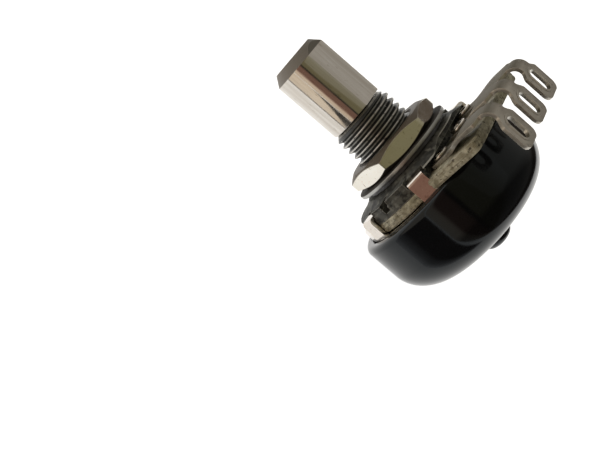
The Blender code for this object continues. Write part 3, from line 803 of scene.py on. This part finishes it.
def build_wafer():
    """The board's faces are flat. Its punched edge is built row by row, with torn fibres."""
    front, back = WAFER_Y
    outlines = [tongue_outline(), circle(WAFER_HOLE_R, segments=64)]
    outlines += [circle(RIVET_HOLE_R, place, 32) for place in RIVET_PLACES.values()]
    work = bmesh.new()
    for index, outline in enumerate(outlines):
        rows = []
        for step in range(EDGE_ROWS + 1):
            t = step / EDGE_ROWS
            y = front + (back - front) * t
            row = []
            for x, z in outline:
                depth = torn_depth(x, y, z, t) if index == 0 else 0.0
                scale = (1 - depth / math.hypot(x, z)) * MM
                row.append(work.verts.new((x * scale, y * MM, z * scale)))
            rows.append(row)
        for first, second in zip(rows, rows[1:]):
            for i in range(len(outline)):
                work.faces.new((first[i - 1], first[i], second[i], second[i - 1]))
    for end in WAFER_Y:
        rim = [edge for edge in work.edges
               if edge.is_boundary and all(abs(v.co.y - end * MM) < MERGE for v in edge.verts)]
        bmesh.ops.triangle_fill(work, edges=rim, normal=(0.0, 1.0, 0.0), use_beauty=True)
    bmesh.ops.recalc_face_normals(work, faces=work.faces)
    mesh = bpy.data.meshes.new("wafer_board")
    work.to_mesh(mesh)
    work.free()
    return smooth(new_object("wafer_board", mesh), 50)


def lug_rows(side):
    """Rows of the lug's middle surface from root to tip: (centre x, half width, y, z)."""
    rivet_x, rivet_z = RIVET_PLACES[side]
    eyelet_x = LUG_EYELET_X[side]
    front_y = LUG_BEND_Y[side]
    root_z = rivet_z - 0.85
    lean_z = rivet_z + 1.0
    bend_z = LUG_PLANE_Z - LUG_BEND_R
    spread = LUG_BASE_HALF_WIDTH - LUG_ROOT_HALF_WIDTH
    narrowing = LUG_NECK_HALF_WIDTH - LUG_BASE_HALF_WIDTH
    rows = []
    for step in range(45):
        z = root_z + (bend_z - root_z) * step / 44
        y = LUG_ROOT_Y + (front_y - LUG_ROOT_Y) * ease((z - lean_z) / (LUG_LEAN_END_Z - lean_z))
        x = rivet_x + (eyelet_x - rivet_x) * ease((z - 6.6) / 2.6)
        half = LUG_ROOT_HALF_WIDTH + spread * ease((z - 6.6) / 2.0)
        half += narrowing * ease((z - 11.6) / 0.95)
        rows.append((x, half, y, z))
    centre = (front_y + LUG_BEND_R, bend_z)
    for y, z in arc(centre, (LUG_BEND_R, LUG_BEND_R), 180, 90, 20)[1:]:
        rows.append((eyelet_x, LUG_NECK_HALF_WIDTH, y, z))
    flare = LUG_HALF_WIDTH - LUG_NECK_HALF_WIDTH
    for step in range(1, 13):
        y = centre[0] + (3.1 - centre[0]) * step / 12
        rows.append((eyelet_x, LUG_NECK_HALF_WIDTH + flare * ease(step / 12), y, LUG_PLANE_Z))
    for x, y in arc((0.75, LUG_END_Y - 0.85), (0.85, 0.85), 0, 80, 8):
        rows.append((eyelet_x, x, y, LUG_PLANE_Z))
    return rows


def slot_outline(centre, width, length):
    radius = width / 2
    reach = length / 2 - radius
    x, y = centre
    return (arc((x, y + reach), (radius, radius), 0, 180, 14)
            + arc((x, y - reach), (radius, radius), 180, 360, 14))


def path_frames(rows):
    """Length along the strip, place and direction in the YZ plane for every row."""
    frames = []
    length = 0.0
    for index, (_, _, y, z) in enumerate(rows):
        here = Vector((y, z))
        if index:
            length += (here - frames[-1][1]).length
        ahead = Vector(rows[min(index + 1, len(rows) - 1)][2:])
        behind = Vector(rows[max(index - 1, 0)][2:])
        frames.append((length, here, (ahead - behind).normalized()))
    return frames


def wrap(obj, frames):
    """Bend a flat strip, which lies along local Y from 0, onto the path of the frames."""
    work = bmesh.new()
    work.from_mesh(obj.data)
    for length, _, _ in frames[1:-1]:
        geometry = work.verts[:] + work.edges[:] + work.faces[:]
        bmesh.ops.bisect_plane(work, geom=geometry, plane_co=(0, length * MM, 0),
                               plane_no=(0, 1, 0), dist=MERGE)
    for vertex in work.verts:
        along = vertex.co.y / MM
        height = vertex.co.z / MM
        index = 0
        while index < len(frames) - 2 and frames[index + 1][0] < along:
            index += 1
        first, second = frames[index], frames[index + 1]
        t = (along - first[0]) / (second[0] - first[0])
        place = first[1].lerp(second[1], t)
        heading = first[2].lerp(second[2], t).normalized()
        y = place.x - heading.y * height
        z = place.y + heading.x * height
        vertex.co = Vector((vertex.co.x, y * MM, z * MM))
    bmesh.ops.recalc_face_normals(work, faces=work.faces)
    work.to_mesh(obj.data)
    work.free()
    return obj


def build_lug(side):
    rows = lug_rows(side)
    frames = path_frames(rows)
    right = [(x + half, frames[i][0]) for i, (x, half, _, _) in enumerate(rows)]
    left = [(x - half, frames[i][0]) for i, (x, half, _, _) in enumerate(rows)]
    outline = right + left[::-1]
    rivet_x, rivet_z = RIVET_PLACES[side]
    hole = circle(RIVET_HOLE_R, (rivet_x, 0.85), 32)
    slot_centre = (LUG_EYELET_X[side], frames[-1][0] - (LUG_END_Y - EYELET_SLOT_Y))
    slot = slot_outline(slot_centre, *EYELET_SLOT)
    half = LUG_THICKNESS / 2
    strip = extruded(f"lug_{side}", [outline, slot, hole], -half, half)
    strip = settled(bevel(strip, 0.07, 3, harden=False))
    border = [slot_outline(slot_centre, EYELET_SLOT[0] + extra, EYELET_SLOT[1] + extra)
              for extra in (2 * COIN_WIDTH, 0.02)]
    ring = extruded("coin", border, -half - COIN_HEIGHT, half + COIN_HEIGHT)
    ring = settled(bevel(ring, 0.04, 3, harden=False))
    strip = joined(strip, ring)
    return smooth(wrap(strip, frames), 40)


def joined(obj, other):
    """One object from two; the second is used up."""
    work = bmesh.new()
    work.from_mesh(obj.data)
    work.from_mesh(other.data)
    work.to_mesh(obj.data)
    work.free()
    bpy.data.objects.remove(other, do_unlink=True)
    return obj


def build_rivet(side):
    """Tubular rivet, rolled over at both ends."""
    x, z = RIVET_PLACES[side]
    front = LUG_ROOT_Y - LUG_THICKNESS / 2 - 0.03
    back = TRACK_BACK_Y + 0.02
    mouth_r = RIVET_SHANK_R - 0.24
    corners = [(mouth_r, front - RIVET_HEAD_HEIGHT), (RIVET_HEAD_R, front - RIVET_HEAD_HEIGHT),
               (RIVET_HEAD_R, front), (RIVET_SHANK_R, front), (RIVET_SHANK_R, back),
               (RIVET_HEAD_R, back), (RIVET_HEAD_R, back + RIVET_HEAD_HEIGHT),
               (mouth_r, back + RIVET_HEAD_HEIGHT)]
    rivet = lathe(f"rivet_{side}", eased(corners, 0.13, 5), 48)
    rivet.data.transform(Matrix.Translation((x * MM, 0.0, z * MM)))
    return rivet


def build_terminals():
    board = phenolic_board()
    finish(build_wafer(), "root", "phenolic_board", board, "wafer")
    lug = lug_plate()
    tin = tin_plate()
    for side in RIVET_PLACES:
        finish(build_lug(side), "root", "lug_plate", lug, f"terminal_{side}")
        finish(build_rivet(side), "root", "tin_plate", tin, f"terminal_rivet_{side}")
    repaint("rear_can", can_plate(), 0.05)


# Cap and the pieces inside

def build_cap():
    lip = arc((CAP_R - CAP_LIP_R, CAP_RIM_Y + CAP_LIP_R), (CAP_LIP_R, CAP_LIP_R), -90, 0, 10)
    shoulder = arc((CAP_R - CAP_SHOULDER[0], CAP_BACK_Y - CAP_SHOULDER[1]), CAP_SHOULDER, 0, 90, 30)
    nub_r, nub_y = CAP_NUB
    dish = []
    for step in range(1, 13):
        t = step / 12
        radius = shoulder[-1][0] + (nub_r - shoulder[-1][0]) * t
        dish.append((radius, CAP_BACK_Y - 0.3 * ease(t / 0.75) + 0.12 * ease((t - 0.7) / 0.3)))
    nub = []
    for step in range(16):
        angle = math.radians(4 + 86 * step / 15)
        nub.append((nub_r * math.cos(angle) ** 0.72,
                    CAP_BACK_Y + 0.1 + (nub_y - CAP_BACK_Y - 0.1) * math.sin(angle) ** 0.8))
    nub[-1] = (0.0, nub_y)
    inner = arc((CAP_BORE_R - 1.0, CAP_FLOOR_Y - 1.0), (1.0, 1.0), 90, 0, 8)
    mouth = [(CAP_BORE_R, CAP_RIM_Y + 0.3), (CAP_BORE_R + 0.06, CAP_RIM_Y + 0.1),
             (CAP_BORE_R + 0.2, CAP_RIM_Y)]
    profile = lip + shoulder + dish + nub + [(0.0, CAP_FLOOR_Y)] + inner + mouth
    return lathe("dust_cap_skin", profile, 180)


def repaint(node, surface, edge_width=0.0):
    """Give a CAD node a finished material and, where it shows, softened edges."""
    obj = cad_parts[node]
    obj.data.materials.clear()
    obj.data.materials.append(surface.material)
    if edge_width:
        bevel(obj, edge_width)


def build_cap_and_inside():
    vinyl = black_vinyl()
    finish(build_cap(), "cap", "black_vinyl", vinyl, "dust_cap")
    spring = spring_steel()
    repaint("thrust_washer", spring, 0.03)
    repaint("retaining_clip", spring, 0.03)
    repaint("rotor_hub", moulded_nylon(), 0.08)
    repaint("wiper_contact", phosphor_bronze(), 0.02)
    repaint("resistive_track", carbon_track())
    silver = silver_ink()
    for side in ("left", "right"):
        repaint(f"end_pad_{side}", silver)
    repaint("collector_ring", nickel_plate(), 0.02)


# Floor, light and camera

def build_floor():
    """Pale floor that the cap's round side rests on."""
    bpy.ops.mesh.primitive_plane_add(size=3.0, location=(0.0, 0.0, -CAP_R * MM))
    floor = bpy.context.object
    floor.name = "floor"
    material = bpy.data.materials.new("floor_white")
    material.use_nodes = True
    shader = material.node_tree.nodes["Principled BSDF"]
    shader.inputs["Base Color"].default_value = (0.85, 0.85, 0.85, 1.0)
    shader.inputs["Roughness"].default_value = 0.9
    shader.inputs["Emission Color"].default_value = (1.0, 1.0, 1.0, 1.0)
    shader.inputs["Emission Strength"].default_value = 1.0
    floor.data.materials.append(material)


def colour_ramp(tree, source, stops, span):
    """Ramp through the stops, whose places run from 0 to span; source runs from 0 to 1."""
    ramp = tree.nodes.new("ShaderNodeValToRGB")
    elements = ramp.color_ramp.elements
    for place, colour in stops[1:-1]:
        elements.new(place / span).color = (*colour, 1.0)
    elements[0].color = (*stops[0][1], 1.0)
    elements[len(stops) - 1].color = (*stops[-1][1], 1.0)
    tree.links.new(source, ramp.inputs["Fac"])
    return ramp.outputs["Color"]


def build_bounce_card(name, y_range, stops):
    """Glowing card beside the object, seen only in reflections and by the light."""
    height = CARD_HEIGHT - CAP_R
    corners = [(CARD_X[0], y_range[0], height), (CARD_X[1], y_range[0], height),
               (CARD_X[1], y_range[1], height), (CARD_X[0], y_range[1], height)]
    mesh = bpy.data.meshes.new(name)
    mesh.from_pydata([tuple(c * MM for c in corner) for corner in corners], [], [(0, 1, 2, 3)])
    card = new_object(name, mesh)
    material = bpy.data.materials.new(name)
    material.use_nodes = True
    tree = material.node_tree
    shader = tree.nodes["Principled BSDF"]
    shader.inputs["Base Color"].default_value = (0.05, 0.05, 0.05, 1.0)
    shader.inputs["Roughness"].default_value = 1.0
    shader.inputs["Emission Strength"].default_value = 1.0
    place = tree.nodes.new("ShaderNodeTexCoord")
    parts = tree.nodes.new("ShaderNodeSeparateXYZ")
    tree.links.new(place.outputs["Object"], parts.inputs["Vector"])
    level = tree.nodes.new("ShaderNodeMapRange")
    level.inputs["From Min"].default_value = CARD_X[0] * MM
    level.inputs["From Max"].default_value = (CARD_X[0] + CARD_FADE) * MM
    tree.links.new(parts.outputs["X"], level.inputs["Value"])
    colour = colour_ramp(tree, level.outputs["Result"], stops, CARD_FADE)
    tree.links.new(colour, shader.inputs["Emission Color"])
    card.data.materials.append(material)
    card.visible_camera = False


def build_world():
    """Plain white backdrop, with a soft warm room round the shaft's axis in reflections."""
    world = bpy.data.worlds.new("room")
    world.use_nodes = True
    tree = world.node_tree
    place = tree.nodes.new("ShaderNodeTexCoord")
    parts = tree.nodes.new("ShaderNodeSeparateXYZ")
    tree.links.new(place.outputs["Generated"], parts.inputs["Vector"])
    angle = tree.nodes.new("ShaderNodeMath")
    angle.operation = "ARCTAN2"
    tree.links.new(parts.outputs["Z"], angle.inputs[0])
    tree.links.new(parts.outputs["X"], angle.inputs[1])
    half_turn = tree.nodes.new("ShaderNodeMath")
    half_turn.operation = "DIVIDE"
    half_turn.inputs[1].default_value = math.pi
    tree.links.new(angle.outputs["Value"], half_turn.inputs[0])
    colour = colour_ramp(tree, half_turn.outputs["Value"], ROOM_BANDS, HALF_TURN)
    behind = tree.nodes.new("ShaderNodeMapRange")
    behind.inputs["From Min"].default_value = ROOM_BEHIND_Y[0]
    behind.inputs["From Max"].default_value = ROOM_BEHIND_Y[1]
    behind.inputs["To Min"].default_value = 1.0
    behind.inputs["To Max"].default_value = ROOM_BEHIND_STRENGTH
    tree.links.new(parts.outputs["Y"], behind.inputs["Value"])
    background = tree.nodes["Background"]
    tree.links.new(behind.outputs["Result"], background.inputs["Strength"])
    tree.links.new(colour, background.inputs["Color"])
    backdrop = tree.nodes.new("ShaderNodeBackground")
    backdrop.inputs["Color"].default_value = (1.0, 1.0, 1.0, 1.0)
    rays = tree.nodes.new("ShaderNodeLightPath")
    seen = tree.nodes.new("ShaderNodeMixShader")
    tree.links.new(rays.outputs["Is Camera Ray"], seen.inputs["Fac"])
    tree.links.new(background.outputs["Background"], seen.inputs[1])
    tree.links.new(backdrop.outputs["Background"], seen.inputs[2])
    tree.links.new(seen.outputs["Shader"], tree.nodes["World Output"].inputs["Surface"])
    bpy.context.scene.world = world


def add_light(name, place, target, size, watts):
    data = bpy.data.lights.new(name, "AREA")
    data.shape = "RECTANGLE"
    data.size = size[0]
    data.size_y = size[1]
    data.energy = watts
    lamp = new_object(name, data)
    lamp.location = place
    direction = Vector(target) - Vector(place)
    lamp.rotation_euler = direction.to_track_quat("-Z", "Y").to_euler()
    lamp.visible_camera = False


def build_camera():
    """The photo's view: from the lug side of the shaft, a little above it, and tilted."""
    location = Vector((0.087887, -0.014580, 0.062071))
    target = Vector((0.01355, -0.00449, -0.00405))
    roll = math.radians(45.4)
    data = bpy.data.cameras.new("camera")
    data.lens = 65.07
    data.sensor_width = 36.0
    data.clip_start = 0.005
    camera = new_object("camera", data)
    turn = (target - location).to_track_quat("-Z", "Y").to_matrix()
    turn = turn @ Euler((0.0, 0.0, roll)).to_matrix()
    camera.matrix_world = Matrix.Translation(location) @ turn.to_4x4()
    bpy.context.scene.camera = camera


build_fixed_front()
build_turning_and_loose_pieces()
build_terminals()
build_cap_and_inside()
build_floor()
build_bounce_card("card_warm", (-CARD_REACH_Y, CARD_SPLIT_Y), WARM_STOPS)
build_bounce_card("card_dark", (CARD_SPLIT_Y, CARD_REACH_Y), DARK_STOPS)
build_world()
add_light("overhead", (0.05, -0.05, 0.45), (0, 0, 0), (0.5, 0.4), 0.05)
build_camera()
bpy.context.scene.view_settings.view_transform = "Standard"
